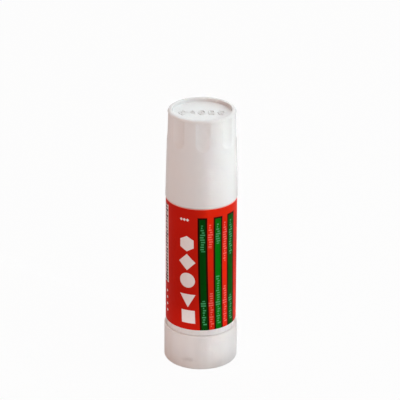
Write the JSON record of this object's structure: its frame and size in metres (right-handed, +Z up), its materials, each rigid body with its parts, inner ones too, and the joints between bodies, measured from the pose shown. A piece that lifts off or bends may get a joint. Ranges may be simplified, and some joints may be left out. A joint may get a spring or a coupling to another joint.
{
  "type": "twist-up glue stick",
  "caption": "Round twist-up glue stick with a lift-off fluted cap, a turning knob and a screw that raises the glue out of its barrel.",
  "frame": {"origin": "middle of the knob's foot ring, on the surface that the stick stands on", "axes": "+Z up along the stick's axis, from the knob to the cap; -Y is the front of the label; +X to the right when seen from the front"},
  "size_m": [0.027, 0.027, 0.0986],
  "materials": {
    "cap_plastic": "glossy white injection-moulded plastic",
    "barrel_plastic": "smooth white injection-moulded plastic",
    "label_film": "glossy printed film, red with green stripes",
    "knob_plastic": "satin, slightly translucent white plastic",
    "screw_plastic": "natural white moulded plastic",
    "carrier_plastic": "natural white moulded plastic",
    "glue_paste": "waxy off-white solid adhesive"
  },
  "bodies": {
    "barrel": {"barrel": "barrel_plastic", "label": "label_film"},
    "knob": {"knob": "knob_plastic", "spindle": "screw_plastic"},
    "carrier": {"carrier": "carrier_plastic", "glue": "glue_paste"},
    "cap": {"cap": "cap_plastic"}
  },
  "joints": [
    {"name": "knob_turn", "type": "hinge", "parent": "barrel", "child": "knob", "pos_m": [0, 0, 0.01], "axis": [0, 0, 1], "range_deg": [-2700, 1260]},
    {"name": "carrier_lift", "type": "slide", "parent": "barrel", "child": "carrier", "axis": [0, 0, 1], "range_m": [-0.0375, 0.0175]},
    {"name": "cap_pull", "type": "slide", "parent": "barrel", "child": "cap", "axis": [0, 0, 1], "range_m": [0, 0.045]}
  ],
  "couplings": [
    {"joint": "carrier_lift", "follows": "knob_turn", "m_per_rad": 0.00079577}
  ]
}
